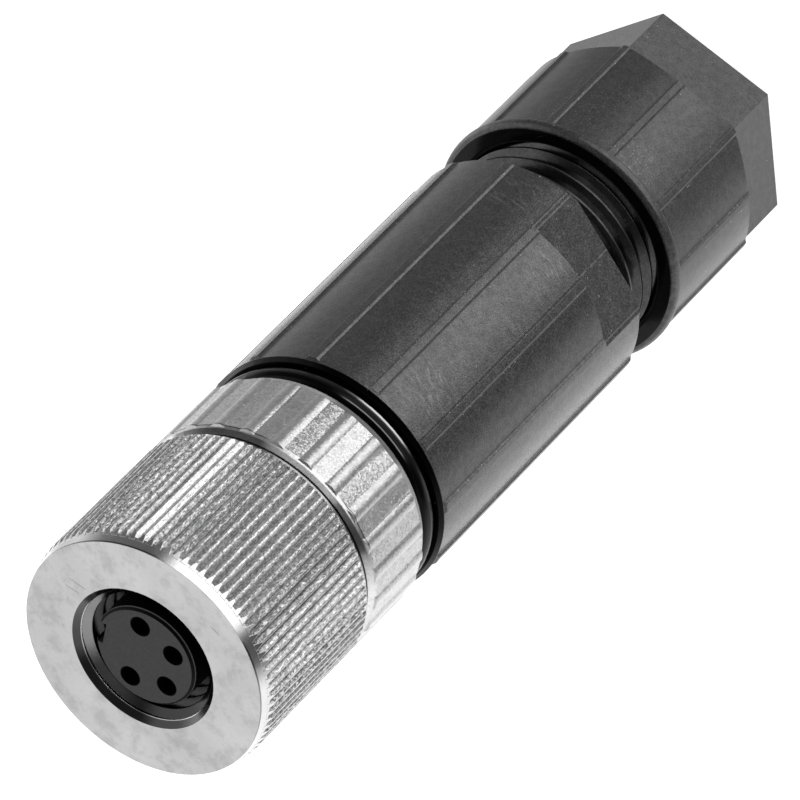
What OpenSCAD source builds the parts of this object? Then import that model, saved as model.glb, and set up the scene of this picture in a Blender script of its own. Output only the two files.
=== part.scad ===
// Round M8 sensor connector with four sockets, for wiring in the field.
// It stands on the rear face of its gland nut; +Z runs along its axis to the mating face.
// All sizes are in millimetres.

/* [Outer form] */
// Outer diameter of the coupling nut and the gland nut
shell_d = 14.2; // [13.9:0.1:16]
// How far the grip ring's ribs stand out past the nuts
ring_proud = 0.02; // [0:0.01:0.2]
// How far the sleeve lies below the nuts
sleeve_step = 0.05; // [0:0.01:0.2]
// How far the seal between head and sleeve lies below the nuts
neck_seal_step = 0.3; // [0.1:0.05:0.8]

/* [Mating end] */
// Nominal diameter of the coupling thread
coupling_thread_d = 8; // [7.5:0.1:9]
// Pitch of the coupling thread
coupling_pitch = 1; // [0.75:0.05:1.25]
// Diameter of the chamfered mouth of the coupling thread
mouth_d = 8.3; // [8:0.1:9.4]
// Diameter of the contact carrier's nose
nose_d = 5.8; // [5.6:0.1:6]
// How far the nose lies behind the mating face
nose_recess = 0.2; // [0.1:0.05:0.6]
// Diameter of the circle that the contacts lie on
contact_circle_d = 3.68; // [3.4:0.02:3.8]
// Diameter of the hole that a pin enters
pin_hole_d = 1.1; // [0.9:0.05:1.3]
// Diameter of the bore in a contact that grips the pin
pin_d = 1; // [0.8:0.02:1.04]
// Direction of the keyway in the nose, in degrees from +X
key_angle = 43; // [0:1:359]
// Width of the keyway
key_w = 1.3; // [0.8:0.1:1.6]
// Depth of the keyway
key_depth = 0.5; // [0.3:0.05:0.7]

/* [Coupling nut] */
// Length of the coupling nut
nut_l = 10.05; // [9.6:0.05:12]
// Number of teeth in the knurl
knurl_teeth = 86; // [60:1:100]
// Depth of the knurl
knurl_depth = 0.18; // [0.1:0.01:0.4]
// Length of the bevel at the mating face
front_bevel_l = 1; // [0.4:0.05:1.2]
// How far the bevel runs in at the mating face
front_bevel_w = 0.24; // [0.1:0.02:0.6]
// Length of the bevel at the rear rim
rear_bevel_l = 0.45; // [0.2:0.05:0.8]
// How far the bevel runs in at the rear rim
rear_bevel_w = 0.28; // [0.1:0.02:0.6]
// Number of turns in the coupling thread
coupling_turns = 5; // [3:1:5]
// Thickness of the inward lip that holds the nut on the carrier
lip_t = 1.6; // [1:0.1:2]

/* [Contact carrier] */
// Diameter of the flange in front of the lip
flange_d = 6.76; // [6.5:0.02:6.8]
// Thickness of the flange
flange_t = 1.4; // [0.8:0.1:1.6]
// Diameter of the neck that passes through the lip
carrier_neck_d = 6.1; // [5.9:0.05:6.2]
// How far the latch hooks stand out of the neck
hook_proud = 0.3; // [0.2:0.05:0.4]
// Length of a latch hook
hook_l = 0.75; // [0.5:0.05:1]
// Width of the seal at the foot of the nose
face_seal_l = 0.8; // [0.5:0.05:1.2]
// Outer diameter of the seal at the foot of the nose
face_seal_d = 6.84; // [6.5:0.02:6.9]

/* [Connector head] */
// Length of the grip ring
ring_l = 4.93; // [4:0.01:7]
// Number of ribs on the grip ring
ring_ribs = 25; // [16:1:30]
// Height of the ring's ribs
ring_rib_h = 0.1; // [0.05:0.01:0.3]
// Width of the ring's ribs at their foot
ring_rib_w = 0.75; // [0.4:0.05:1]
// Direction of the first rib on the grip ring, in degrees from +X
ring_rib_angle = -3.6; // [-15:0.1:15]
// Length of the bevel at the front of the grip ring
ring_bevel_l = 0.22; // [0.1:0.01:0.6]
// How far the bevel runs in at the front of the grip ring
ring_bevel_w = 0.06; // [0.04:0.01:0.2]
// Length of the plain neck in front of the ribs
ring_neck_l = 0.26; // [0.1:0.02:0.6]
// How far that neck narrows towards the nut
ring_neck_taper = 0.16; // [0:0.01:0.2]
// Width of the dark groove between nut and grip ring
nut_groove = 0.12; // [0.1:0.01:0.5]
// Thickness of the web that the carrier latches into
web_t = 4.3; // [3.6:0.1:4.6]
// Nominal diameter of the thread between head and sleeve
head_thread_d = 11; // [10.8:0.1:11.6]
// Pitch of the thread between head and sleeve
head_pitch = 0.75; // [0.5:0.05:1]
// Length of the threaded spigot
spigot_l = 5.4; // [4:0.1:6]
// Wall of the spigot below its thread
spigot_wall = 0.54; // [0.4:0.02:0.6]

/* [Neck seal] */
// Width of the seal between head and sleeve
neck_seal_l = 1.8; // [1.4:0.1:2.6]

/* [Terminals] */
// Diameter of the circle that the terminal barrels lie on
terminal_circle_d = 5.4; // [5.2:0.1:5.6]
// Diameter of a terminal barrel
barrel_d = 2.3; // [2:0.05:2.4]
// Length of a terminal barrel
barrel_l = 6; // [5:0.1:7]
// Diameter of the hole that takes a wire
wire_hole_d = 1.3; // [0.9:0.05:1.5]
// Depth of the hole that takes a wire
wire_hole_l = 4; // [3:0.1:4.5]
// Diameter of a contact's shank
shank_d = 1.44; // [1.3:0.02:1.5]
// Diameter of a terminal screw
screw_d = 1.2; // [1:0.05:1.4]
// Length of a terminal screw
screw_l = 1.3; // [1:0.05:1.4]
// Length of the terminal block
block_l = 10.55; // [10:0.05:11]
// Thickness of the gasket in front of the terminal block
gasket_t = 0.8; // [0.5:0.05:1.2]

/* [Sleeve] */
// Length of the sleeve without its threaded neck
sleeve_l = 19.7; // [19:0.1:26]
// Number of ribs along the sleeve and the gland nut
grip_ribs = 12; // [8:2:18]
// Height of the sleeve's ribs
sleeve_rib_h = 0.13; // [0.05:0.01:0.3]
// Width of the sleeve's ribs at their foot
sleeve_rib_w = 0.72; // [0.45:0.01:1]
// How far the sides of the ribs slant in, on sleeve and gland nut
rib_slant = 0.14; // [0.05:0.01:0.2]
// Distance across the two spanner flats
spanner_af = 12.3; // [11.8:0.1:13.4]
// Length of the spanner flats
spanner_l = 3.7; // [2:0.1:6]
// Inner diameter of the wiring chamber
chamber_d = 10; // [9.4:0.1:10.4]
// Length of the threaded neck
neck_l = 7.5; // [6:0.1:7.6]
// Wall of the neck below its thread
neck_wall = 0.8; // [0.6:0.05:0.9]
// Distance of the inner ledge from the sleeve's rear face
ledge_z = 5.3; // [5.2:0.1:7]
// Thickness of the inner ledge
ledge_t = 0.8; // [0.6:0.1:1.4]
// Inner diameter of the ledge
ledge_d = 7.8; // [7:0.1:8.6]

/* [Gland nut] */
// Length of the gland nut
gland_l = 12.15; // [11.6:0.05:16]
// Nominal diameter of the gland thread
gland_thread_d = 12; // [11.6:0.1:12.4]
// Pitch of the gland thread
gland_pitch = 1; // [0.75:0.05:1.5]
// Height of the gland nut's ribs
gland_rib_h = 0.12; // [0.05:0.01:0.3]
// Width of the gland nut's ribs at their foot
gland_rib_w = 0.62; // [0.45:0.01:1]
// Length of the plain rim at the gland nut's front
rim_l = 0.45; // [0.3:0.05:1]
// How far the rim stands out of the gland nut
rim_proud = 0.16; // [0.05:0.01:0.3]
// Radius of the rounded front edge of the rim
rim_round = 0.35; // [0.1:0.05:0.4]
// Distance across the hexagon's flats
hex_af = 12.1; // [11:0.1:12.6]
// Length of the hexagon
hex_l = 3.6; // [2.6:0.1:4.4]
// Diameter of the hole that the cable enters
cable_hole_d = 7; // [6.4:0.1:7.4]
// Length of the straight wall of the cable hole, with its mouth
cable_hole_l = 2.6; // [2:0.1:3]
// Height of the thread's floor in the gland nut
thread_floor_z = 4.6; // [4.5:0.1:4.8]
// Gap between gland nut and sleeve as the nut is left loose for the cable
gland_gap = 3.25; // [0.5:0.05:4]

/* [Cable clamp] */
// Wall of the clamp cage
cage_wall = 0.72; // [0.5:0.02:0.9]
// Number of fingers on the clamp cage
cage_fingers = 8; // [4:1:10]
// Width of the slots between the fingers
cage_slot_w = 0.8; // [0.4:0.1:1.2]
// Length of the closed ring at the cage's top
cage_ring_l = 4.9; // [3:0.1:6]
// Distance from the gland nut's front face to the cage's top
cage_rise = 5.25; // [4:0.05:5.3]
// Thickness of the inward stop at the cage's top
cage_stop_t = 0.8; // [0.5:0.1:1.2]
// How far the cage's two keys stand out of it
cage_key_proud = 0.3; // [0.15:0.05:0.4]
// Width of the cage's two keys
cage_key_w = 1.4; // [0.8:0.1:2]
// Length of the cage's two keys
cage_key_l = 1.5; // [1:0.1:3]
// Inner diameter of the cable seal at its lips
seal_bore_d = 5.8; // [5:0.1:6.4]
// Depth of the grooves between the lips of the cable seal
seal_groove = 0.25; // [0.1:0.05:0.3]
// Number of lips in the cable seal
seal_lips = 4; // [2:1:6]
// Length of the cable seal
seal_l = 10; // [6:0.1:11]

/* [Hidden] */
$fn = 96;

// Clearances
end_play = 0.05;
running_clear = 0.06;
slide_clear = 0.08;
seat_clear = 0.03;
contact_clear = 0.04;
beyond = 1;

// Thread form: depth for each millimetre of pitch, and the flats at crest and root as shares of the pitch
thread_depth_ratio = 0.54;
thread_flat = 0.125;

// Five places round the nose, one taken by the keyway
contact_step = 72;

// Outer diameters
nut_d = shell_d;
ring_d = shell_d + 2 * ring_proud;
neck_seal_d = shell_d - 2 * neck_seal_step;
sleeve_d = shell_d - 2 * sleeve_step;
gland_d = shell_d;

// Places along the axis, from the rear face of the gland nut
sleeve_z = gland_l + gland_gap;
sleeve_top = sleeve_z + sleeve_l;
head_z = sleeve_top + neck_seal_l;
ring_top = head_z + ring_l;
nut_z = ring_top + nut_groove;
nut_top = nut_z + nut_l;
lip_top = nut_z + lip_t;
flange_z = lip_top + end_play;
flange_top = flange_z + flange_t;
nose_top = nut_top - nose_recess;
web_z = ring_top - web_t;
hook_top = web_z - end_play;
carrier_z = hook_top - hook_l;
gasket_z = web_z - end_play - gasket_t;
block_top = gasket_z - end_play;
block_z = block_top - block_l;
spigot_z = sleeve_top - spigot_l;
neck_z = sleeve_z - neck_l;
ledge_bottom = sleeve_z + ledge_z;
ledge_top = ledge_bottom + ledge_t;
socket_z = spigot_z - beyond;

// Coupling nut
coupling_crest_r = coupling_thread_d / 2 - thread_depth_ratio * coupling_pitch;
coupling_root_r = coupling_thread_d / 2 + seat_clear;
mouth_end_r = (mouth_d / 2 + coupling_crest_r) / 2;
mouth_depth = mouth_d / 2 - mouth_end_r;
coupling_thread_z = nut_top - mouth_depth - coupling_turns * coupling_pitch;
nut_face_r = nut_d / 2 - front_bevel_w;
nut_rear_r = nut_d / 2 - rear_bevel_w;
knurl_root_r = nut_d / 2 - knurl_depth;
lip_r = carrier_neck_d / 2 + running_clear;
knurl_tip_share = 0.22;

// Where the knurl ends on the two bevels, as shares of them from the nut's end faces:
// the teeth end at the first, their valleys at the second
knurl_tooth_end = 0.5;
knurl_valley_end = 0.65;
knurl_proud = 0.012;
knurl_sink = 0.05;

// Contact carrier, with a blind hole for each contact
contact_r = shank_d / 2;
cavity_r = contact_r + contact_clear;
contact_recess = 1.1;
contact_top = nose_top - contact_recess;
grip_depth = 5;
nose_chamfer = 0.15;
key_foot = 0.3;
key_z = flange_top + face_seal_l + key_foot;
hook_inset = 0.125;
hook_land = 0.25;
hook_z = carrier_z + hook_inset;
hook_root_r = carrier_neck_d / 2 - hook_proud;
hook_arc = 40;
hook_count = 4;

// Connector head
head_crest_r = head_thread_d / 2 - running_clear;
head_root_r = head_crest_r - thread_depth_ratio * head_pitch;
head_bore_r = head_root_r - spigot_wall;
web_bore_r = carrier_neck_d / 2 + running_clear;
hook_r = carrier_neck_d / 2 + hook_proud;
boss_wall = 0.9;
boss_r = carrier_neck_d / 2 + boss_wall;
ring_panel_r = ring_d / 2 - ring_rib_h;
ring_rod_r = (pow(ring_rib_w / 2, 2) + pow(ring_rib_h, 2)) / (2 * ring_rib_h);
ring_front = ring_top - ring_neck_l;
ring_neck_r = ring_panel_r - ring_bevel_w;

// Slanted ends of the grip ring's ribs, which sink into it before its ends
ring_rib_end = 0.2;
ring_rib_inset = 0.02;
ring_rib_sink = 0.12;
ring_sunk_r = ring_neck_r - ring_rib_sink;
ring_limit_r = ring_d / 2 + ring_rib_h;

// Narrow bevel at the rear of the grip ring, and turns of the thread behind it
ring_edge = 0.1;
head_turns = floor((spigot_l - beyond / 2) / head_pitch);

// Neck seal, with a thick bead at its rear and a thin rim at its front, as shares of its wall
seal_bead_share = 0.47;
seal_rim_share = 0.18;

// Terminals
block_r = head_bore_r - end_play;
gasket_r = block_r;
gasket_clear = 0.2;
gasket_inner_r = hook_r + gasket_clear;
barrel_r = barrel_d / 2;
barrel_recess = 0.4;
barrel_z = block_z + barrel_recess;
barrel_top = barrel_z + barrel_l;
barrel_space = barrel_top + contact_clear - block_z;
terminal_r = terminal_circle_d / 2;
screw_r = screw_d / 2 - seat_clear;
screw_rise = 1.6;
screw_offset = 0.1;
screw_z = barrel_z + screw_rise;
screw_start = terminal_r + screw_offset;
screw_slot_w = 0.3;
screw_slot_depth = 0.35;
driver_clear = 0.15;
driver_r = screw_d / 2 + driver_clear;

// Sleeve
rib_sink = 0.2;
sleeve_r = sleeve_d / 2;
sleeve_edge = 0.2;
socket_r = head_thread_d / 2;
neck_crest_r = gland_thread_d / 2 - running_clear;
neck_root_r = neck_crest_r - thread_depth_ratio * gland_pitch;
neck_bore_r = neck_root_r - neck_wall;
neck_collar_l = 0.4;
neck_turns = floor((neck_l - neck_collar_l) / gland_pitch);
spanner_angle = -90;
keyway_clear = 0.05;

// Gland nut, with the cone that presses the cage's fingers in
cage_r = neck_bore_r - slide_clear;
cage_inner_r = cage_r - cage_wall;
gland_r = gland_d / 2;
rim_z = gland_l - rim_l;
hex_apothem = hex_af / 2;
hex_runout = gland_r + gland_rib_h - hex_apothem + beyond;
hex_runout_slope = 0.7;
cable_hole_r = cable_hole_d / 2;
cable_mouth = 0.4;
gland_bore_r = gland_thread_d / 2;
cone_margin = 0.48;
cone_top_r = cage_r + cone_margin;
gland_mouth = 0.2;

// Clamp cage and cable seal
cage_top = gland_l + cage_rise;
cage_ring_z = cage_top - cage_ring_l;
cage_stop_z = cage_top - cage_stop_t;
cone_slope = (thread_floor_z - cable_hole_l) / (cone_top_r - cable_hole_r);
cage_tip_inner_z = cable_hole_l + (cage_inner_r - cable_hole_r) * cone_slope + 2 * slide_clear;
cage_tip_outer_z = cable_hole_l + (cage_r - cable_hole_r) * cone_slope + 2 * slide_clear;
cage_key_r = cage_r + cage_key_proud;
keyway_r = cage_key_r + keyway_clear;
stop_step = 0.25;
stop_inner_r = seal_bore_d / 2 + stop_step;
seal_outer_r = cage_inner_r - seat_clear;
seal_top = cage_stop_z - end_play;
seal_lip_r = seal_bore_d / 2;
seal_pitch = seal_l / seal_lips;
seal_groove_from = 0.1;
seal_groove_floor = 0.3;

// Colours
nickel = [0.78, 0.78, 0.77];
black_plastic = [0.13, 0.13, 0.13];
carrier_grey = [0.26, 0.26, 0.26];
rubber_black = [0.05, 0.05, 0.05];
gold = [0.83, 0.66, 0.3];
steel = [0.62, 0.63, 0.65];
block_grey = [0.2, 0.2, 0.21];

// Solid turned from a closed outline of [radius, height] points
module turned(outline) {
    rotate_extrude()
        polygon(outline);
}

// Rising side of a thread, drawn as one groove for each turn
function thread_side(crest, root, z, pitch, turns) = [
    for (i = [0 : turns - 1])
        for (p = [
            [root, thread_flat / 2],
            [crest, 0.5 - thread_flat / 2],
            [crest, 0.5 + thread_flat / 2],
            [root, 1 - thread_flat / 2]
        ])
            [p[0], z + (i + p[1]) * pitch]
];

// Point at a radius and an angle
function polar(r, a) = [r * cos(a), r * sin(a)];

// Bars that stand out of a round body, with flat tops and slanted sides that reach below its surface
module ribs(count, r, height, width, z, length) {
    top = width / 2 - rib_slant;
    sunk = width / 2 + rib_slant * rib_sink / height;
    for (i = [0 : count - 1])
        rotate(i * 360 / count)
            translate([0, 0, z])
                linear_extrude(length)
                    polygon([
                        [r - rib_sink, -sunk], [r + height, -top],
                        [r + height, top], [r - rib_sink, sunk]
                    ]);
}

// Outline of the knurl, with narrow flats on its teeth
module knurl_outline() {
    step = 360 / knurl_teeth;
    tip = nut_d / 2;
    polygon([
        for (i = [0 : knurl_teeth - 1])
            for (p = [[tip, -knurl_tip_share / 2], [tip, knurl_tip_share / 2], [knurl_root_r, 0.5]])
                polar(p[0], (i + p[1]) * step)
    ]);
}

// End of the nut with its smooth bevel, which the knurl's valleys run out into
module knurl_end(z, face_r, length, width, way) {
    end_r = face_r + width * knurl_valley_end;
    end_z = z - way * length * knurl_valley_end;
    sunk_r = knurl_root_r - knurl_sink;
    sunk_z = end_z - way * (end_r - sunk_r);
    turned([[0, z], [face_r, z], [end_r, end_z], [sunk_r, sunk_z], [0, sunk_z]]);
}

// Round ribs of the grip ring: rods that are mostly sunk into it
module ring_rods() {
    for (i = [0 : ring_ribs - 1])
        rotate(ring_rib_angle + i * 360 / ring_ribs)
            translate([ring_d / 2 - ring_rod_r, 0, head_z])
                cylinder(r = ring_rod_r, h = ring_l - ring_neck_l);
}

module coupling_nut() {
    bore = concat(
        [[0, nut_z - beyond], [lip_r, nut_z - beyond], [lip_r, lip_top], [coupling_root_r, lip_top]],
        thread_side(coupling_crest_r, coupling_root_r, coupling_thread_z, coupling_pitch, coupling_turns),
        [[mouth_end_r, nut_top - mouth_depth], [mouth_d / 2, nut_top]],
        [[mouth_d / 2, nut_top + beyond], [0, nut_top + beyond]]
    );
    teeth_z = nut_z + rear_bevel_l * knurl_tooth_end;
    teeth_top = nut_top - front_bevel_l * knurl_tooth_end;
    color(nickel)
        difference() {
            union() {
                intersection() {
                    translate([0, 0, teeth_z])
                        linear_extrude(teeth_top - teeth_z)
                            knurl_outline();
                    turned([
                        [0, nut_z],
                        [nut_rear_r + knurl_proud, nut_z],
                        [nut_d / 2 + knurl_proud, nut_z + rear_bevel_l],
                        [nut_d / 2 + knurl_proud, nut_top - front_bevel_l],
                        [nut_face_r + knurl_proud, nut_top],
                        [0, nut_top]
                    ]);
                }
                knurl_end(nut_top, nut_face_r, front_bevel_l, front_bevel_w, 1);
                knurl_end(nut_z, nut_rear_r, rear_bevel_l, rear_bevel_w, -1);
            }
            turned(bore);
        }
}

// Places one copy at each contact, turned so that +X points outwards
module at_contact(i, r) {
    rotate(key_angle + i * contact_step)
        translate([r, 0, 0])
            children();
}

module contact_carrier() {
    color(carrier_grey)
        difference() {
            union() {
                turned([
                    [0, carrier_z],
                    [carrier_neck_d / 2, carrier_z],
                    [carrier_neck_d / 2, flange_z],
                    [flange_d / 2, flange_z],
                    [flange_d / 2, flange_top],
                    [nose_d / 2, flange_top],
                    [nose_d / 2, nose_top - nose_chamfer],
                    [nose_d / 2 - nose_chamfer, nose_top],
                    [0, nose_top]
                ]);
                for (i = [0 : hook_count - 1])
                    rotate(key_angle + (i + 0.5) * 360 / hook_count - hook_arc / 2)
                        rotate_extrude(angle = hook_arc)
                            polygon([
                                [hook_root_r, hook_z],
                                [carrier_neck_d / 2, hook_z],
                                [hook_r, hook_top - hook_land],
                                [hook_r, hook_top],
                                [hook_root_r, hook_top]
                            ]);
            }
            for (i = [1 : 4])
                at_contact(i, contact_circle_d / 2) {
                    translate([0, 0, carrier_z - beyond])
                        cylinder(r = cavity_r, h = contact_top + contact_clear - carrier_z + beyond);
                    translate([0, 0, contact_top])
                        cylinder(d = pin_hole_d, h = contact_recess + beyond);
                }
            rotate(key_angle)
                translate([nose_d / 2 - key_depth, -key_w / 2, key_z])
                    cube([key_depth + beyond, key_w, nose_top - key_z + beyond]);
        }
}

module face_seal() {
    inner = nose_d / 2 + seat_clear;
    outer = face_seal_d / 2;
    bottom = flange_top + seat_clear;
    round = (outer - inner) / 2;
    color(rubber_black)
        rotate_extrude()
            translate([inner, bottom]) {
                square([outer - inner, face_seal_l - round]);
                translate([round, face_seal_l - round])
                    circle(r = round);
            }
}

module connector_head() {
    color(nickel)
        difference() {
            union() {
                turned(concat(
                    [[0, spigot_z], [head_root_r, spigot_z]],
                    thread_side(head_crest_r, head_root_r, spigot_z, head_pitch, head_turns),
                    [
                        [head_crest_r, spigot_z + head_turns * head_pitch + head_pitch / 2],
                        [head_crest_r, head_z],
                        [ring_panel_r - ring_edge, head_z],
                        [ring_panel_r, head_z + ring_edge],
                        [ring_panel_r, ring_front - ring_bevel_l],
                        [ring_neck_r, ring_front],
                        [ring_neck_r - ring_neck_taper, ring_top],
                        [boss_r, ring_top],
                        [boss_r, nut_z - end_play],
                        [0, nut_z - end_play]
                    ]
                ));
                intersection() {
                    ring_rods();
                    turned([
                        [0, head_z + ring_rib_inset],
                        [ring_sunk_r, head_z + ring_rib_inset],
                        [ring_limit_r, head_z + ring_rib_end],
                        [ring_limit_r, ring_front - ring_rib_end],
                        [ring_sunk_r, ring_front - ring_rib_inset],
                        [0, ring_front - ring_rib_inset]
                    ]);
                }
            }
            translate([0, 0, spigot_z - beyond])
                cylinder(r = head_bore_r, h = web_z - spigot_z + beyond);
            translate([0, 0, web_z - beyond])
                cylinder(r = web_bore_r, h = nut_z - web_z + 2 * beyond);
        }
}

module neck_seal() {
    inner = head_crest_r + seat_clear;
    outer = neck_seal_d / 2;
    bottom = sleeve_top + seat_clear;
    height = neck_seal_l - 2 * seat_clear;
    wall = outer - inner;
    bead = wall * seal_bead_share;
    rim = wall * seal_rim_share;
    color(rubber_black)
        rotate_extrude() {
            translate([inner, bottom])
                square([wall - bead, height]);
            translate([outer - bead, bottom + bead])
                circle(r = bead);
            translate([outer - bead - rim, bottom + height - 2 * rim])
                square([bead, 2 * rim]);
            translate([outer - rim, bottom + height - rim])
                circle(r = rim);
        }
}

module head_gasket() {
    color(rubber_black)
        turned([
            [gasket_inner_r, gasket_z],
            [gasket_r, gasket_z],
            [gasket_r, gasket_z + gasket_t],
            [gasket_inner_r, gasket_z + gasket_t]
        ]);
}

module terminal_block() {
    color(block_grey)
        difference() {
            translate([0, 0, block_z])
                cylinder(r = block_r, h = block_l);
            for (i = [1 : 4]) {
                at_contact(i, contact_circle_d / 2)
                    translate([0, 0, block_z - beyond])
                        cylinder(r = cavity_r, h = block_l + 2 * beyond);
                at_contact(i, terminal_r) {
                    translate([0, 0, block_z - beyond])
                        cylinder(r = barrel_r + contact_clear, h = barrel_space + beyond);
                    translate([0, 0, screw_z])
                        rotate([0, 90, 0])
                            cylinder(r = driver_r, h = block_r);
                }
            }
        }
}

// Socket contact with a barrel at its rear for the wire
module contact(i) {
    color(gold)
        difference() {
            union() {
                at_contact(i, contact_circle_d / 2)
                    translate([0, 0, barrel_top - beyond])
                        cylinder(r = contact_r, h = contact_top - barrel_top + beyond);
                at_contact(i, terminal_r)
                    translate([0, 0, barrel_z])
                        cylinder(r = barrel_r, h = barrel_l);
            }
            at_contact(i, contact_circle_d / 2)
                translate([0, 0, contact_top - grip_depth])
                    cylinder(d = pin_d, h = grip_depth + beyond);
            at_contact(i, terminal_r) {
                translate([0, 0, barrel_z - beyond])
                    cylinder(d = wire_hole_d, h = wire_hole_l + beyond);
                translate([0, 0, screw_z])
                    rotate([0, 90, 0])
                        cylinder(d = screw_d, h = barrel_d);
            }
        }
}

// Slotted screw without a head, set into the side of a barrel
module terminal_screw(i) {
    color(steel)
        rotate(key_angle + i * contact_step)
            translate([screw_start, 0, screw_z])
                rotate([0, 90, 0])
                    difference() {
                        cylinder(r = screw_r, h = screw_l);
                        translate([-screw_d, -screw_slot_w / 2, screw_l - screw_slot_depth])
                            cube([2 * screw_d, screw_slot_w, screw_slot_depth + beyond]);
                    }
}

module contact_1() { contact(1); }
module contact_2() { contact(2); }
module contact_3() { contact(3); }
module contact_4() { contact(4); }
module terminal_screw_1() { terminal_screw(1); }
module terminal_screw_2() { terminal_screw(2); }
module terminal_screw_3() { terminal_screw(3); }
module terminal_screw_4() { terminal_screw(4); }

module sleeve() {
    rib_r = sleeve_r + sleeve_rib_h;
    color(black_plastic)
        difference() {
            union() {
                intersection() {
                    union() {
                        translate([0, 0, sleeve_z])
                            cylinder(r = sleeve_r, h = sleeve_l);
                        ribs(grip_ribs, sleeve_r, sleeve_rib_h, sleeve_rib_w, sleeve_z, sleeve_l);
                    }
                    turned([
                        [0, sleeve_z],
                        [sleeve_r - sleeve_edge, sleeve_z],
                        [rib_r, sleeve_z + sleeve_edge + sleeve_rib_h],
                        [rib_r, sleeve_top - sleeve_edge - sleeve_rib_h],
                        [sleeve_r - sleeve_edge, sleeve_top],
                        [0, sleeve_top]
                    ]);
                }
                turned(concat(
                    [[0, neck_z], [neck_root_r, neck_z]],
                    thread_side(neck_crest_r, neck_root_r, neck_z, gland_pitch, neck_turns),
                    [
                        [neck_crest_r, sleeve_z - neck_collar_l / 2],
                        [neck_crest_r, sleeve_z + beyond],
                        [0, sleeve_z + beyond]
                    ]
                ));
            }
            for (side = [0, 180])
                rotate(spanner_angle + side)
                    translate([spanner_af / 2, -sleeve_d, sleeve_z - beyond])
                        cube([sleeve_d, 2 * sleeve_d, spanner_l + beyond]);
            turned([
                [0, neck_z - beyond],
                [neck_bore_r, neck_z - beyond],
                [neck_bore_r, ledge_bottom],
                [ledge_d / 2, ledge_bottom],
                [ledge_d / 2, ledge_top],
                [chamber_d / 2, ledge_top],
                [chamber_d / 2, socket_z],
                [socket_r, socket_z + socket_r - chamber_d / 2],
                [socket_r, sleeve_top + beyond],
                [0, sleeve_top + beyond]
            ]);
            for (side = [0, 180])
                rotate(side)
                    translate([0, -cage_key_w / 2 - keyway_clear, neck_z - beyond])
                        cube([keyway_r, cage_key_w + 2 * keyway_clear, ledge_bottom - neck_z + beyond]);
        }
}

module clamp_cage() {
    color(black_plastic)
        difference() {
            union() {
                turned([
                    [cage_inner_r, cage_tip_inner_z],
                    [cage_r, cage_tip_outer_z],
                    [cage_r, cage_top],
                    [stop_inner_r, cage_top],
                    [stop_inner_r, cage_stop_z],
                    [cage_inner_r, cage_stop_z]
                ]);
                for (side = [0, 180])
                    rotate(side)
                        translate([cage_inner_r + cage_wall / 2, -cage_key_w / 2, cage_top - cage_key_l])
                            cube([cage_key_r - cage_inner_r - cage_wall / 2, cage_key_w, cage_key_l]);
            }
            for (i = [0 : cage_fingers - 1])
                rotate((i + 0.5) * 360 / cage_fingers)
                    translate([0, -cage_slot_w / 2, cage_tip_inner_z - beyond])
                        cube([cage_r + beyond, cage_slot_w, cage_ring_z - cage_tip_inner_z + beyond]);
        }
}

module cable_seal() {
    bottom = seal_top - seal_l;
    color(rubber_black)
        turned(concat(
            [[seal_outer_r, bottom], [seal_outer_r, seal_top], [seal_lip_r, seal_top]],
            [
                for (i = [seal_lips - 1 : -1 : 0])
                    for (p = [
                        [0, 1 - seal_groove_from], [seal_groove, 1 - seal_groove_floor],
                        [seal_groove, seal_groove_floor], [0, seal_groove_from]
                    ])
                        [seal_lip_r + p[0], bottom + (i + p[1]) * seal_pitch]
            ],
            [[seal_lip_r, bottom]]
        ));
}

// Slanted end of a hexagon flat, where it runs out into the round body
module hex_flat() {
    rotate([90, 0, 0])
        linear_extrude(2 * gland_d, center = true)
            polygon([
                [hex_apothem, -beyond],
                [hex_apothem, hex_l],
                [hex_apothem + hex_runout, hex_l + hex_runout * hex_runout_slope],
                [hex_apothem + hex_runout, -beyond]
            ]);
}

// Body of the gland nut, with the rounded rim at its front
module gland_body() {
    rim_r = gland_r + rim_proud;
    round_r = rim_r - rim_round;
    round_z = gland_l - rim_round;
    rotate_extrude() {
        polygon([
            [0, 0],
            [gland_r, 0],
            [gland_r, rim_z - rim_proud],
            [rim_r, rim_z],
            [rim_r, round_z],
            [round_r, gland_l],
            [0, gland_l]
        ]);
        translate([round_r, round_z])
            circle(r = rim_round);
    }
}

module gland_nut() {
    color(black_plastic)
        difference() {
            union() {
                gland_body();
                ribs(grip_ribs, gland_r, gland_rib_h, gland_rib_w, 0, rim_z);
            }
            for (i = [0 : 5])
                rotate(60 * i)
                    hex_flat();
            turned([
                [0, -beyond],
                [cable_hole_r + cable_mouth, -beyond],
                [cable_hole_r + cable_mouth, 0],
                [cable_hole_r, cable_mouth],
                [cable_hole_r, cable_hole_l],
                [cone_top_r, thread_floor_z],
                [gland_bore_r, thread_floor_z],
                [gland_bore_r, gland_l - gland_mouth],
                [gland_bore_r + gland_mouth, gland_l],
                [gland_bore_r + gland_mouth, gland_l + beyond],
                [0, gland_l + beyond]
            ]);
        }
}

coupling_nut();
contact_carrier();
face_seal();
connector_head();
neck_seal();
head_gasket();
terminal_block();
contact_1();
contact_2();
contact_3();
contact_4();
terminal_screw_1();
terminal_screw_2();
terminal_screw_3();
terminal_screw_4();
sleeve();
clamp_cage();
cable_seal();
gland_nut();
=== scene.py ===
"""Looks of the circular sensor connector: camera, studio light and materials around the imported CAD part."""
import math

import bpy
from mathutils import Matrix, Vector


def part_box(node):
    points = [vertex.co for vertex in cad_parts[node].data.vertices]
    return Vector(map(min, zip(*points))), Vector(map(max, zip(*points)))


MM = 0.001

# Lengths are in millimetres in the part's own frame, directions in degrees round its axis.
# A zone is given by its middle, its half width and the width over which it fades out.

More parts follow.
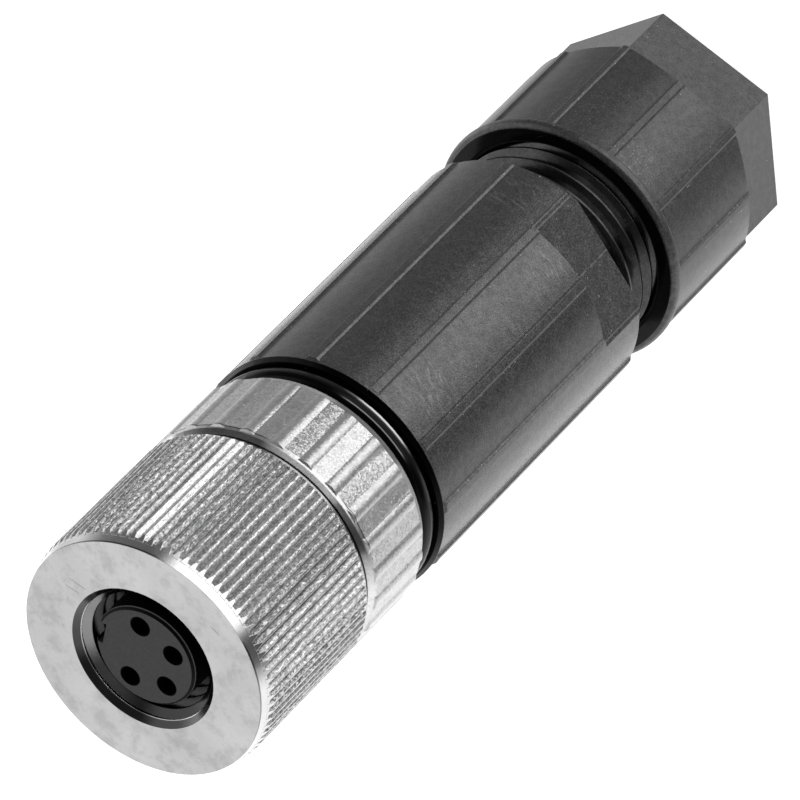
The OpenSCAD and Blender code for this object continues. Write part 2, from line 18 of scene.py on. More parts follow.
# Camera of the photograph, found from the part's edges: right, up and back, place in metres, sensor, lens
CAMERA_RIGHT = Vector((-0.50504, -0.68663, -0.52295))
CAMERA_UP = Vector((0.82494, -0.20587, -0.52639))
CAMERA_BACK = CAMERA_RIGHT.cross(CAMERA_UP)
CAMERA_PLACE = (0.129480, -0.355768, 0.369756)
CAMERA_SENSOR = 36.0
CAMERA_LENS = 450.0

# Direction round the axis in which the photograph's camera stood
PHOTO_SIDE = -70.0

# Coupling nut: radius of its mouth, of its wall inside the knurl, and where the painted shade in the teeth's
# valleys starts and ends
NUT_MOUTH_R = 4.15
NUT_WALL_R = 6.5
TOOTH_FOOT_R = 6.925
TOOTH_TIP_R = 7.07

# Zones round the nut: a painted highlight band across the teeth, valleys with less painted shade, and a
# painted reflection inside the mouth
TEETH_HIGHLIGHT = (-33.0, 2.5, 3.0)
LESS_SHADED_VALLEYS = (-62.0, 22.0, 14.0)
MOUTH_REFLECTION = (70.0, 35.0, 40.0)

# Middle of a dull spot on the nut's front face
FACE_SPOT = (5.14, -0.50)

# Scratches on the nut's front face: middle, direction and length
FACE_SCRATCHES = (
    (4.80, 1.15, 36.0, 1.25),
    (4.59, 1.66, 37.5, 1.05),
    (0.40, -5.60, 20.0, 0.80),
)

# Grip ring: number of ribs, turn of the pattern, and zones of painted shade along its front edge
RING_RIBS = 25
RING_TURN = 3.6
RING_PAINTED_SHADE = ((-18.0, 20.0, 9.0), (-94.0, 9.0, 8.0))

# Contact carrier: direction of its keyway, places round the contact circle, radius of circle, hole and nose
KEY_ANGLE = 43.0
CONTACT_PLACES = 5
CONTACT_CIRCLE_R = 1.84
PIN_HOLE_R = 0.6
NOSE_R = 2.9

# Ribs round the sleeve and round the gland nut
SHELL_RIBS = 12

# Sleeve: radius that its threads and bores lie within, its flats' middle too, and radius of body and front
SLEEVE_INNER_R = 5.98
SLEEVE_FLAT_R = 6.3
SLEEVE_BODY_R = 7.05
SLEEVE_FRONT_R = 7.12

# Gland nut: the same, without flats
GLAND_INNER_R = 6.0
GLAND_BODY_R = 7.1
GLAND_FRONT_R = 6.95

# Radius below which the clamp cage is smooth, less than its bore, so that all of it is grained
CAGE_INNER_R = 0.5

# Worn patches on the sleeve: direction, height, half width in degrees and half length
SLEEVE_WEAR = (
    (-76.0, 19.5, 10.0, 3.2),
    (-76.0, 32.0, 12.0, 2.4),
    (-42.0, 17.5, 12.0, 1.8),
    (110.0, 26.0, 20.0, 5.0),
)

# Specked patches on the gland nut, in the same way
GLAND_SPECKS = (
    (-36.0, 9.0, 22.0, 3.6),
    (-70.0, 10.5, 20.0, 1.6),
)

# Studio round the part: direction in which its turn starts, a level that none is above, and levels of light
# at degrees of turn from that start, for what lies below the part and for what lies level with it
STUDIO_START = -130.0
STUDIO_TOP_LEVEL = 5.0
STUDIO_BELOW = (
    (0.0, 0.3), (12.0, 0.3), (24.0, 0.55), (36.0, 0.95), (44.0, 1.36), (62.0, 1.5), (78.0, 1.42),
    (86.0, 1.0), (94.0, 0.4), (120.0, 0.36), (156.0, 0.5), (192.0, 0.7), (206.0, 1.0), (220.0, 1.7),
    (236.0, 1.8), (250.0, 1.6), (270.0, 1.6), (300.0, 1.38), (336.0, 1.0), (348.0, 0.9), (356.0, 0.3),
)
STUDIO_BESIDE = (
    (0.0, 0.12), (16.0, 0.15), (22.0, 0.6), (30.0, 2.0), (90.0, 2.0), (97.0, 0.7), (104.0, 0.15),
    (156.0, 0.15), (168.0, 0.6), (178.0, 1.9), (192.0, 2.2), (206.0, 1.0), (228.0, 1.05), (264.0, 1.3),
    (324.0, 1.75), (336.0, 1.5), (346.0, 0.7), (354.0, 0.15),
)

# Key lamp and floor: place, aim, width and half width in metres, power in watts
KEY_PLACE = Vector((0.25, -0.7, 0.55))
KEY_AIM = Vector((0.0, 0.0, 0.03))
KEY_SIZE = 0.45
KEY_POWER = 2.0
FLOOR_HALF = 3.0

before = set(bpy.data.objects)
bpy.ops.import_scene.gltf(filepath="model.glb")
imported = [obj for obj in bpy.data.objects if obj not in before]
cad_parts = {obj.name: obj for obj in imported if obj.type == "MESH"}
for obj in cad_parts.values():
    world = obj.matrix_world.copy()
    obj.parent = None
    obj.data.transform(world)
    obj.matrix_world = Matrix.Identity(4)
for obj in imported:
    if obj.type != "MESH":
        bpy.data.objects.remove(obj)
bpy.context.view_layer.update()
scene = bpy.context.scene
scene.view_settings.view_transform = "Standard"


def ends(node):
    """Lower and upper end of a CAD node along the axis, in millimetres."""
    low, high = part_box(node)
    return low.z / MM, high.z / MM


NUT_REAR_Z, NUT_FACE_Z = ends("coupling_nut")
NOSE_Z = ends("contact_carrier")[1]
SEAL_REAR_Z = ends("neck_seal")[0]
SLEEVE_END_Z = ends("sleeve")[1]
GLAND_END_Z = ends("gland_nut")[1]

# Coupling nut: outer edge of its face, and wall, lip and chamfer of its mouth, where painted shade and
# painted highlights lie
NUT_RIM_Z = NUT_FACE_Z - 0.06
MOUTH_WALL = (NUT_FACE_Z - 1.0, NUT_FACE_Z - 0.7)
MOUTH_LIP_Z = NUT_FACE_Z - 0.35
MOUTH_CHAMFER = (NUT_FACE_Z - 0.34, NUT_FACE_Z - 0.31)

# Grip ring: its front edge lies behind the nut, and its bevel starts behind that edge
RING_EDGE_Z = NUT_REAR_Z - 0.38
RING_BEVEL_Z = RING_EDGE_Z - 0.22

# Contact carrier: edge of its nose in the mouth, where a painted highlight lies
NOSE_EDGE_Z = NOSE_Z - 0.15

# Neck seal: two lines of painted highlight on its bead, and its rim with a painted grey reflection
SEAL_HIGHLIGHT_Z = SEAL_REAR_Z + 0.33
SEAL_THIN_HIGHLIGHT_Z = SEAL_REAR_Z + 0.90
SEAL_RIM_Z = SEAL_REAR_Z + 1.52

# Sleeve and gland nut: front painted black as shade, by its start, end and radius, and ribbed body by its
# radius and end
SLEEVE_SHADED_FRONT = (SLEEVE_END_Z - 0.22, SLEEVE_END_Z - 0.17, SLEEVE_FRONT_R)
SLEEVE_BODY = (SLEEVE_BODY_R, SLEEVE_END_Z - 0.4)
GLAND_SHADED_FRONT = (GLAND_END_Z - 0.05, GLAND_END_Z - 0.01, GLAND_FRONT_R)
GLAND_BODY = (GLAND_BODY_R, GLAND_END_Z - 0.55)


class Graph:
    """Writes a node tree as expressions: each method adds one node or a few and gives back an output."""

    def __init__(self, tree):
        self.tree = tree
        tree.nodes.clear()

    def node(self, kind, inputs=None, **props):
        made = self.tree.nodes.new(kind)
        for key, value in props.items():
            setattr(made, key, value)
        for key, value in (inputs or {}).items():
            self.put(made.inputs[key], value)
        return made

    def put(self, socket, value):
        if isinstance(value, bpy.types.NodeSocket):
            self.tree.links.new(value, socket)
        else:
            socket.default_value = value

    def math(self, operation, *values):
        made = self.node("ShaderNodeMath", operation=operation)
        for index, value in enumerate(values):
            self.put(made.inputs[index], value)
        return made.outputs[0]

    def add(self, a, b):
        return self.math("ADD", a, b)

    def sub(self, a, b):
        return self.math("SUBTRACT", a, b)

    def mul(self, a, b):
        return self.math("MULTIPLY", a, b)

    def most(self, a, b):
        return self.math("MAXIMUM", a, b)

    def span(self, value, a, b, c=0.0, d=1.0):
        """Maps a..b smoothly to c..d, held at the ends."""
        made = self.node("ShaderNodeMapRange", interpolation_type="SMOOTHSTEP")
        for index, item in enumerate((value, a, b, c, d)):
            self.put(made.inputs[index], item)
        return made.outputs[0]

    def distance(self, a, b):
        """Length of a flat vector."""
        return self.math("SQRT", self.add(self.mul(a, a), self.mul(b, b)))

    def split(self, vector):
        made = self.node("ShaderNodeSeparateXYZ", {0: vector})
        return made.outputs

    def join(self, x, y, z):
        return self.node("ShaderNodeCombineXYZ", {0: x, 1: y, 2: z}).outputs[0]

    def vector(self, operation, *values):
        made = self.node("ShaderNodeVectorMath", operation=operation)
        for index, value in enumerate(values):
            self.put(made.inputs[index], value)
        return made.outputs["Value" if operation == "DOT_PRODUCT" else "Vector"]

    def scaled(self, vector, amount):
        return self.vector("MULTIPLY", vector, self.join(amount, amount, amount))

    def noise(self, vector, scale, detail=2.0, rough=0.5):
        inputs = {"Vector": vector, "Scale": scale, "Detail": detail, "Roughness": rough}
        return self.node("ShaderNodeTexNoise", inputs).outputs[0]

    def cells(self, vector, scale):
        made = self.node("ShaderNodeTexVoronoi", {"Vector": vector, "Scale": scale})
        return made.outputs["Distance"], made.outputs["Color"]

    def grey(self, value):
        """A neutral colour from a number."""
        return self.node("ShaderNodeCombineColor", {0: value, 1: value, 2: value}).outputs[0]

    def bump(self, height, distance, normal):
        inputs = {"Height": height, "Distance": distance * MM, "Strength": 1.0, "Normal": normal}
        return self.node("ShaderNodeBump", inputs).outputs[0]

    def edge(self, radius):
        """A normal that rounds sharp edges by this radius."""
        return self.node("ShaderNodeBevel", {"Radius": radius * MM}, samples=6).outputs[0]

    def lean(self, normal, tint, amount):
        """A normal turned a little at random in each cell, by the cell's colour."""
        spread = self.vector("SUBTRACT", tint, (0.5, 0.5, 0.5))
        return self.vector("NORMALIZE", self.vector("ADD", normal, self.scaled(spread, amount)))

    def outward(self, normal, place, tilt, amount):
        """A normal turned by an amount to straight out from the axis, tilted up by these degrees."""
        x, y, _ = self.split(place)
        c, s = math.cos(math.radians(tilt)), math.sin(math.radians(tilt))
        out = self.vector("MULTIPLY", self.vector("NORMALIZE", self.join(x, y, 0.0)), (c, c, c))
        out = self.node(
            "ShaderNodeVectorTransform", {0: self.vector("ADD", out, (0.0, 0.0, s))},
            vector_type="NORMAL", convert_from="OBJECT", convert_to="WORLD",
        ).outputs[0]
        turned = self.scaled(self.vector("SUBTRACT", out, normal), amount)
        return self.vector("NORMALIZE", self.vector("ADD", normal, turned))

    def position(self):
        """The place on the piece in millimetres, in the part's own frame."""
        place = self.node("ShaderNodeTexCoord").outputs["Object"]
        return self.vector("MULTIPLY", place, (1 / MM, 1 / MM, 1 / MM))


def material(name):
    made = bpy.data.materials.new(name)
    made.use_nodes = True
    return made, Graph(made.node_tree)


def surface(g, color, rough, normal, metallic=0.0, **fixed):
    shader = g.node("ShaderNodeBsdfPrincipled")
    g.put(shader.inputs["Base Color"], color)
    g.put(shader.inputs["Roughness"], rough)
    g.put(shader.inputs["Normal"], normal)
    g.put(shader.inputs["Metallic"], metallic)
    for key, value in fixed.items():
        g.put(shader.inputs[key.replace("_", " ")], value)
    g.node("ShaderNodeOutputMaterial", {0: shader.outputs[0]})


def around(g, place):
    """Angle round the axis in degrees, radius and height."""
    x, y, z = g.split(place)
    angle = g.mul(g.math("ARCTAN2", y, x), math.degrees(1.0))
    return angle, g.distance(x, y), z


def near(g, value, centre, half, soft):
    """1 where a value lies within half of the centre, fading out over soft."""
    return g.span(g.math("ABSOLUTE", g.sub(value, centre)), half, half + soft, 1.0, 0.0)


def patches(g, angle, z, places):
    """1 within soft patches: direction, height, half width in degrees and half length."""
    found = 0.0
    for degrees, height, half_degrees, half_length in places:
        turn = near(g, angle, degrees, half_degrees * 0.4, half_degrees * 0.6)
        found = g.most(found, g.mul(turn, near(g, z, height, half_length * 0.4, half_length * 0.6)))
    return found


def stroke(g, x, y, line):
    """One fine scratch on a flat face: middle, direction and length."""
    middle_x, middle_y, degrees, length = line
    c, s = math.cos(math.radians(degrees)), math.sin(math.radians(degrees))
    dx, dy = g.sub(x, middle_x), g.sub(y, middle_y)
    along = g.add(g.mul(dx, c), g.mul(dy, s))
    across = g.sub(g.mul(dy, c), g.mul(dx, s))
    return g.mul(near(g, along, 0.0, length / 2 - 0.2, 0.2), near(g, across, 0.0, 0.02, 0.05))


def nut_nickel(name):
    """Plated coupling nut: sparkling knurl, smooth bevels, smudged face; painted shade in the valleys, on the
    face's rim and in the mouth, painted highlights across the teeth and in the mouth.
    """
    made, g = material(name)
    place = g.position()
    x, y, _ = g.split(place)
    angle, radius, z = around(g, place)
    cloud = g.noise(place, 0.45, 4.0, 0.6)
    long_place = g.vector("MULTIPLY", place, (1.0, 1.0, 0.55))
    _, tint = g.cells(long_place, 13.0)
    grit = g.noise(long_place, 9.0, 2.0, 0.6)

    mouth = g.span(radius, NUT_MOUTH_R - 0.015, NUT_MOUTH_R, 1.0, 0.0)
    on_face = g.mul(g.span(z, NUT_FACE_Z - 0.03, NUT_FACE_Z - 0.01), g.sub(1.0, mouth))
    tilt = g.math("ABSOLUTE", g.split(g.node("ShaderNodeNewGeometry").outputs["Normal"])[2])
    knurled = g.mul(g.span(tilt, 0.06, 0.14, 1.0, 0.0), g.span(radius, NUT_WALL_R, NUT_WALL_R + 0.1))

    smudge = g.span(g.noise(place, 0.9, 3.0, 0.65), 0.4, 0.72, 0.0, 0.15)
    spot_x, spot_y = FACE_SPOT
    spot = g.distance(g.sub(x, spot_x), g.sub(y, spot_y))
    marks = g.mul(g.span(spot, 0.15, 0.5, 1.0, 0.0), 0.35)
    for line in FACE_SCRATCHES:
        marks = g.add(marks, stroke(g, x, y, line))

    # Painted shade in the knurl's valleys, darkest at the teeth's feet and lighter in one stretch round the
    # nut
    valley_shade = g.span(near(g, angle, *LESS_SHADED_VALLEYS), 0.0, 1.0, 0.33, 0.62)
    tooth_shade = g.span(radius, TOOTH_FOOT_R, TOOTH_TIP_R, valley_shade, 1.0)
    sparkle = g.span(grit, 0.36, 0.64, 0.6, 1.1)
    # A painted highlight: a bright band across the teeth in one narrow stretch round the nut
    teeth_highlight = g.mul(near(g, angle, *TEETH_HIGHLIGHT), 1.1)
    teeth = g.span(knurled, 0.0, 1.0, 1.0, g.most(g.mul(tooth_shade, sparkle), teeth_highlight))

    # Painted light in the mouth: painted shade on the chamfer and down the wall, a painted highlight on the
    # lip, and a painted reflection in one stretch of the wall
    chamfer = g.span(z, *MOUTH_CHAMFER)
    lip_highlight = near(g, z, MOUTH_LIP_Z, 0.03, 0.03)
    painted_wall_light = g.span(near(g, angle, *MOUTH_REFLECTION), 0.0, 1.0, 0.1, 0.42)
    painted_wall_light = g.span(z, *MOUTH_WALL, 0.1, painted_wall_light)
    inside = g.most(g.mul(painted_wall_light, g.sub(1.0, chamfer)), g.most(g.mul(chamfer, 0.12), lip_highlight))

    # Painted shade: a thin dark line round the face's outer edge, left out on the side facing the camera
    turned_away = g.sub(1.0, near(g, angle, PHOTO_SIDE, 20.0, 12.0))
    rim = g.mul(near(g, z, NUT_RIM_Z, 0.03, 0.03), turned_away)
    rim = g.mul(rim, g.sub(1.0, mouth))
    shade = g.mul(g.span(cloud, 0.3, 0.7, 0.54, 0.64), g.span(rim, 0.0, 1.0, 1.0, 0.3))
    shade = g.sub(shade, g.mul(on_face, g.add(smudge, g.mul(marks, 0.13))))
    shade = g.mul(g.mul(shade, teeth), g.span(mouth, 0.0, 1.0, 1.0, inside))
    roughness = g.add(g.span(cloud, 0.3, 0.75, 0.14, 0.24), g.mul(on_face, smudge))
    roughness = g.add(roughness, g.mul(knurled, 0.06))
    normal = g.lean(g.edge(0.04), tint, g.span(knurled, 0.0, 1.0, 0.015, 0.36))
    normal = g.bump(g.mul(grit, g.span(knurled, 0.0, 1.0, 0.02, 1.0)), 0.022, normal)
    surface(g, g.grey(shade), roughness, normal, 1.0)
    return made


def ring_nickel(name):
    """Plated grip ring: fine crystal grain between its ribs, smooth along its front edge, with painted shade
    in stretches of that edge.
    """
    made, g = material(name)
    place = g.position()
    angle, _, z = around(g, place)
    cloud = g.noise(place, 0.45, 4.0, 0.6)
    _, tint = g.cells(place, 14.0)
    grain = g.noise(place, 6.0, 2.0, 0.5)

    # Painted shade: dark stretches along the front edge and bevel, in the groove behind the nut
    dark = 0.0
    for zone in RING_PAINTED_SHADE:
        dark = g.most(dark, near(g, angle, *zone))
    front = g.span(z, RING_EDGE_Z - 0.03, RING_EDGE_Z + 0.01)
    dark = g.mul(dark, g.most(front, near(g, z, RING_BEVEL_Z + 0.01, 0.02, 0.03)))
    shade = g.mul(g.span(cloud, 0.3, 0.7, 0.51, 0.58), g.span(grain, 0.35, 0.65, 0.9, 1.06))
    shade = g.mul(shade, g.span(dark, 0.0, 1.0, 1.0, 0.28))
    roughness = g.span(cloud, 0.3, 0.75, 0.26, 0.34)

    bevel = (RING_BEVEL_Z - 0.05, RING_BEVEL_Z + 0.05)
    from_rib = g.math("PINGPONG", g.add(angle, RING_TURN), 180.0 / RING_RIBS)
    crystal = g.mul(g.span(from_rib, 2.0, 3.4, 0.14, 0.28), g.span(z, *bevel, 1.0, 0.08))
    normal = g.lean(g.edge(0.06), tint, crystal)
    normal = g.bump(g.mul(grain, g.span(z, *bevel, 1.0, 0.1)), 0.012, normal)
    surface(g, g.grey(shade), roughness, normal, 1.0)
    return made


def plastic(name, base, rough, gloss, inner_r, front=None, body=None, wear=(), specks=(), flat_r=None):
    """Moulded black plastic: spark-eroded grain, wispy scuffs, specks, and dust caught along the ribs.

    Threads and bores, which lie inside inner_r, are smooth and carry painted shade: darker and less glossy.
    The front, given by its start and end in height and the radius it reaches out to, is painted black as
    shade.
    The ribs' feet run softly into a round body, given by its radius and the height it ends at. A piece with
    flats, whose middle lies within flat_r, has a line of dust along them and a rounded edge in front of its
    body.
    """
    made, g = material(name)
    place = g.position()
    angle, radius, z = around(g, place)
    grain = g.noise(place, 10.5, 2.0, 0.7)
    cloud = g.noise(place, 0.6, 4.0, 0.6)
    mottle = g.noise(place, 2.4, 2.0, 0.5)
    inside = g.span(radius, inner_r - 0.02, inner_r, 1.0, 0.0)
    face = 0.0
    if front:
        front_z, front_end, front_r = front
        face = g.mul(g.span(z, front_z, front_end), g.span(radius, front_r - 0.1, front_r, 1.0, 0.0))
    outside = g.mul(g.sub(1.0, inside), g.sub(1.0, face))

    bend = g.mul(g.noise(place, 0.5, 1.0, 0.5), 6.0)
    across = g.add(g.add(g.mul(z, 5.0), g.mul(angle, 0.14)), bend)
    streak = g.noise(g.join(g.mul(angle, 0.12), across, radius), 1.0, 2.0, 0.6)
    patch = g.most(g.span(cloud, 0.5, 0.62, 0.0, 0.35), patches(g, angle, z, wear))
    scuff = g.mul(g.span(streak, 0.52, 0.68), patch)

    fine, mark = g.cells(place, 6.5)
    speck = g.mul(g.span(fine, 0.12, 0.36, 1.0, 0.0), g.math("GREATER_THAN", g.split(mark)[1], 0.45))
    speck = g.mul(speck, patches(g, angle, z, specks))

    dots, tint = g.cells(place, 3.4)
    by_rib = near(g, g.math("PINGPONG", angle, 180.0 / SHELL_RIBS), 2.6, 0.7, 0.6)
    rare = g.math("GREATER_THAN", g.split(tint)[0], g.span(by_rib, 0.0, 1.0, 0.985, 0.55))
    dust = g.mul(g.span(dots, 0.05, 0.17, 1.0, 0.0), rare)
    if flat_r:
        x = g.split(place)[0]
        dashes = g.span(g.noise(place, 2.2, 1.0, 0.5), 0.42, 0.5)
        line = g.mul(g.mul(near(g, x, 0.0, 0.03, 0.03), g.math("LESS_THAN", radius, flat_r)), dashes)
        dust = g.add(dust, g.mul(line, 0.2))

    # Threads, bores and the front are darkened to a tenth: painted shade between the parts
    shade = g.add(g.span(grain, 0.3, 0.7, base * 0.5, base * 1.5), g.mul(scuff, 0.02))
    shade = g.mul(g.add(shade, g.mul(dust, 0.4)), g.span(outside, 0.0, 1.0, 0.1, 1.0))
    roughness = g.add(g.span(grain, 0.3, 0.7, rough - 0.07, rough + 0.07), g.mul(scuff, 0.06))
    roughness = g.add(g.mul(roughness, outside), g.mul(g.sub(1.0, outside), 0.14))
    shine = g.mul(g.span(grain, 0.32, 0.68, 0.58, 0.94), g.span(mottle, 0.3, 0.7, 0.86, 1.14))
    shine = g.add(shine, g.add(g.mul(scuff, 0.4), g.mul(speck, 1.3)))
    # Painted shade in the gloss too: less of it on threads and bores, almost none on the front
    shade_in_gloss = g.span(face, 0.0, 1.0, g.span(inside, 0.0, 1.0, 1.0, 0.7), 0.05)
    height = g.add(g.mul(grain, g.span(outside, 0.0, 1.0, 0.05, 1.0)), g.mul(scuff, 0.5))
    normal = g.edge(0.05)
    if body:
        body_r, body_end = body
        above_body = g.span(radius, body_r - 0.002, body_r + 0.003)
        foot = g.mul(above_body, g.span(radius, body_r + 0.03, body_r + 0.045, 1.0, 0.0))
        foot = g.mul(foot, g.span(z, body_end - 0.1, body_end, 1.0, 0.0))
        if flat_r:
            rounded = g.span(radius, body_r - 0.15, body_r - 0.13)
            foot = g.most(foot, g.mul(rounded, near(g, z, body_end + 0.14, 0.05, 0.02)))
        normal = g.outward(normal, place, 0.0, foot)
    normal = g.bump(height, 0.012, normal)
    tone = g.grey(g.mul(shine, shade_in_gloss))
    surface(g, g.grey(shade), roughness, normal, Specular_IOR_Level=gloss, Specular_Tint=tone)
    return made


def carrier(name, base, rough):
    """Matte grey plastic, with painted shade inside the pin holes and down the nose's side, and a painted
    highlight on the nose's edge.
    """
    made, g = material(name)
    place = g.position()
    x, y, _ = g.split(place)
    _, radius, z = around(g, place)
    grain = g.noise(place, 9.0, 2.0, 0.6)
    cloud = g.noise(place, 1.6, 3.0, 0.5)
    hole = 0.0
    for step in range(1, CONTACT_PLACES):
        turn = math.radians(KEY_ANGLE + 360.0 / CONTACT_PLACES * step)
        dx = g.sub(x, CONTACT_CIRCLE_R * math.cos(turn))
        dy = g.sub(y, CONTACT_CIRCLE_R * math.sin(turn))
        hole = g.add(hole, g.span(g.distance(dx, dy), PIN_HOLE_R - 0.03, PIN_HOLE_R, 1.0, 0.0))
    # Painted shade down the nose's side and inside the pin holes, and a painted highlight on the nose's edge
    side = g.span(radius, NOSE_R - 0.17, NOSE_R - 0.14)
    dark = g.most(g.mul(side, 0.85), hole)
    edge = g.mul(near(g, radius, NOSE_R, 0.02, 0.015), near(g, z, NOSE_EDGE_Z, 0.03, 0.02))
    shade = g.span(cloud, 0.3, 0.7, base * 0.88, base * 1.12)
    shade = g.add(g.mul(shade, g.span(dark, 0.0, 1.0, 1.0, 0.03)), g.mul(edge, 0.1))
    roughness = g.add(g.span(grain, 0.3, 0.7, rough - 0.06, rough + 0.06), g.mul(hole, 0.3))
    shine = g.grey(g.span(dark, 0.0, 1.0, 1.0, 0.05))
    normal = g.bump(grain, 0.006, g.edge(0.03))
    surface(g, g.grey(shade), roughness, normal, Specular_IOR_Level=0.5, Specular_Tint=shine)
    return made


def rubber(name):
    """Black seal rubber, with painted highlights in two lines round the neck seal's bead, strongest on the
    side facing the camera, and a painted grey reflection on its rim.
    """
    made, g = material(name)
    place = g.position()
    grain = g.noise(place, 6.0, 2.0, 0.5)
    cloud = g.noise(place, 0.8, 3.0, 0.5)
    angle, _, z = around(g, place)
    # Painted highlights: gloss only on two lines of the bead, mostly on the side facing the camera; painted
    # reflection: a grey rim, darker on that side
    facing = near(g, angle, PHOTO_SIDE, 14.0, 10.0)
    line = near(g, z, SEAL_HIGHLIGHT_Z, 0.13, 0.06)
    thin_highlight = near(g, z, SEAL_THIN_HIGHLIGHT_Z, 0.02, 0.03)
    rim = near(g, z, SEAL_RIM_Z, 0.24, 0.03)
    rim_reflection = g.mul(rim, g.span(facing, 0.0, 1.0, 0.34, 0.16))
    shade = g.add(g.span(cloud, 0.3, 0.7, 0.0008, 0.0016), rim_reflection)
    roughness = g.add(g.span(cloud, 0.3, 0.7, 0.08, 0.14), g.mul(rim, 0.2))
    painted_highlight = g.mul(g.most(line, g.mul(thin_highlight, 0.4)), g.span(facing, 0.0, 1.0, 0.12, 1.0))
    shine = g.grey(g.span(painted_highlight, 0.0, 1.0, 0.03, 1.0))
    normal = g.bump(grain, 0.002, g.outward(g.edge(0.05), place, -6.5, line))
    surface(g, g.grey(shade), roughness, normal, IOR=1.8, Specular_IOR_Level=1.2, Specular_Tint=shine)
    return made


def metal(name, color, rough):
    """Small turned parts: contacts and terminal screws."""
    made, g = material(name)
    place = g.position()
    grain = g.noise(place, 10.0, 2.0, 0.5)
    cloud = g.noise(place, 1.2, 3.0, 0.5)
    level = g.span(cloud, 0.3, 0.7, 0.92, 1.05)
    tone = g.vector("MULTIPLY", g.join(level, level, level), color)
    roughness = g.span(grain, 0.3, 0.7, rough - 0.05, rough + 0.08)
    surface(g, tone, roughness, g.bump(grain, 0.001, g.edge(0.03)), 1.0)
    return made


sleeve_plastic = plastic(
    "sleeve_plastic", base=0.006, rough=0.28, gloss=1.5, inner_r=SLEEVE_INNER_R,
    front=SLEEVE_SHADED_FRONT, body=SLEEVE_BODY, wear=SLEEVE_WEAR, flat_r=SLEEVE_FLAT_R,
)
gland_plastic = plastic(
    "gland_plastic", base=0.018, rough=0.36, gloss=1.12, inner_r=GLAND_INNER_R,
    front=GLAND_SHADED_FRONT, body=GLAND_BODY, specks=GLAND_SPECKS,
)
cage_plastic = plastic("cage_plastic", base=0.008, rough=0.4, gloss=0.6, inner_r=CAGE_INNER_R)
carrier_plastic = carrier("carrier_plastic", base=0.018, rough=0.55)
seal_rubber = rubber("seal_rubber")
contact_gold = metal("contact_gold", color=(0.83, 0.62, 0.25), rough=0.25)
screw_steel = metal("screw_steel", color=(0.62, 0.61, 0.59), rough=0.3)

LOOKS = {
    "coupling_nut": nut_nickel("nut_nickel"),
    "connector_head": ring_nickel("ring_nickel"),
    "contact_carrier": carrier_plastic,
    "terminal_block": carrier_plastic,
    "face_seal": seal_rubber,
    "neck_seal": seal_rubber,
    "head_gasket": seal_rubber,
    "cable_seal": seal_rubber,
    "sleeve": sleeve_plastic,
    "clamp_cage": cage_plastic,
    "gland_nut": gland_plastic,
}

for name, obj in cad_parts.items():
    look = LOOKS.get(name)
    if look is None:
        look = contact_gold if name.startswith("contact_") else screw_steel
    if not obj.material_slots:
        obj.data.materials.append(look)
    for item in obj.material_slots:
        item.material = look


def studio_world():
    """White for the camera; the part sees a soft box in front, dark gaps beside it and a pale rear.

    One ring of levels stands for what lies below the part and one for what lies level with it. Above, the
    light is even, but dim round the camera. Two narrow strips in front draw fine highlights on round edges.
    """
    world = bpy.data.worlds.new("studio")
    world.use_nodes = True
    scene.world = world
    g = Graph(world.node_tree)
    direction = g.node("ShaderNodeTexCoord").outputs["Generated"]
    x, y, z = g.split(direction)
    azimuth = g.mul(g.math("ARCTAN2", y, x), math.degrees(1.0))
    rise = g.mul(g.math("ARCSINE", z), math.degrees(1.0))
    turn = g.math("WRAP", g.sub(azimuth, STUDIO_START), 360.0, 0.0)

    def ring(stops):
        ramp = g.node("ShaderNodeValToRGB", {0: g.math("DIVIDE", turn, 360.0)})
        elements = ramp.color_ramp.elements
        while len(elements) < len(stops):
            elements.new(0.5)
        for element, (degrees, level) in zip(elements, stops):
            share = level / STUDIO_TOP_LEVEL
            element.position = degrees / 360.0
            element.color = (share, share, share, 1.0)
        return g.mul(ramp.outputs[0], STUDIO_TOP_LEVEL)

    toward_camera = g.vector("DOT_PRODUCT", direction, CAMERA_BACK)
    above = g.span(toward_camera, 0.40, 0.75, 1.0, 0.12)
    low = g.span(rise, -30.0, -18.0, 1.0, 0.0)
    high = g.span(rise, 8.0, 24.0)
    middle = g.sub(g.sub(1.0, low), high)
    strips = g.most(near(g, rise, -55.0, 3.0, 2.0), g.mul(near(g, rise, 8.0, 3.0, 3.0), 0.7))
    strips = g.mul(strips, near(g, turn, 57.0, 26.0, 10.0))
    level = g.add(g.mul(ring(STUDIO_BELOW), low), g.mul(ring(STUDIO_BESIDE), middle))
    level = g.add(level, g.add(g.mul(above, high), g.mul(strips, 2.0)))
    light = g.node("ShaderNodeLightPath")
    direct = g.most(light.outputs["Is Camera Ray"], light.outputs["Is Transmission Ray"])
    seen = g.add(g.mul(level, g.sub(1.0, direct)), direct)
    back = g.node("ShaderNodeBackground", {0: (1.0, 1.0, 1.0, 1.0), 1: seen})
    g.node("ShaderNodeOutputWorld", {0: back.outputs[0]})


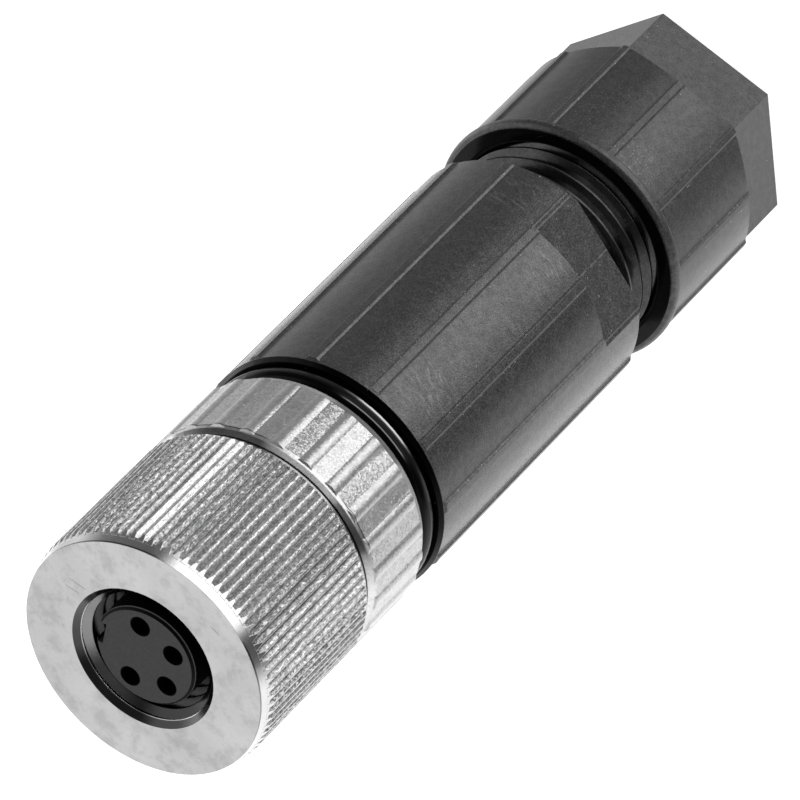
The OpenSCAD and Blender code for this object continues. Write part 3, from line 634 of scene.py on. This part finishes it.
def studio_floor():
    """A pale floor that reads as white and keeps a soft shadow."""
    h = FLOOR_HALF
    mesh = bpy.data.meshes.new("floor")
    mesh.from_pydata([(-h, -h, 0), (h, -h, 0), (h, h, 0), (-h, h, 0)], [], [(0, 1, 2, 3)])
    floor = bpy.data.objects.new("floor", mesh)
    scene.collection.objects.link(floor)
    made, g = material("floor_paper")
    place = g.node("ShaderNodeTexCoord").outputs["Object"]
    fibre = g.noise(place, 400.0, 2.0, 0.5)
    shade = g.span(fibre, 0.3, 0.7, 0.84, 0.86)
    matte = g.node("ShaderNodeBsdfDiffuse", {0: g.grey(shade)})
    light = g.node("ShaderNodeLightPath")
    seen = g.most(light.outputs["Is Camera Ray"], light.outputs["Is Glossy Ray"])
    glow = g.node("ShaderNodeEmission", {0: (1.0, 1.0, 1.0, 1.0), 1: g.mul(seen, 0.8)})
    both = g.node("ShaderNodeAddShader", {0: matte.outputs[0], 1: glow.outputs[0]})
    g.node("ShaderNodeOutputMaterial", {0: both.outputs[0]})
    mesh.materials.append(made)
    floor.visible_glossy = False


def key_lamp():
    """A soft round lamp from the camera's side, not seen in the gloss, which the studio world draws."""
    data = bpy.data.lights.new("key", "AREA")
    data.shape = "DISK"
    data.size = KEY_SIZE
    data.energy = KEY_POWER
    key = bpy.data.objects.new("key", data)
    key.location = KEY_PLACE
    key.rotation_euler = (KEY_AIM - KEY_PLACE).to_track_quat("-Z", "Y").to_euler()
    key.visible_glossy = False
    scene.collection.objects.link(key)


def photo_camera():
    """The photograph's viewing angle."""
    data = bpy.data.cameras.new("photo_camera")
    data.sensor_width = CAMERA_SENSOR
    data.lens = CAMERA_LENS
    data.clip_start = 0.01
    data.clip_end = 20.0
    camera = bpy.data.objects.new("photo_camera", data)
    turn = Matrix((CAMERA_RIGHT, CAMERA_UP, CAMERA_BACK)).transposed().to_4x4()
    camera.matrix_world = Matrix.Translation(CAMERA_PLACE) @ turn
    scene.collection.objects.link(camera)
    scene.camera = camera


studio_world()
studio_floor()
key_lamp()
photo_camera()
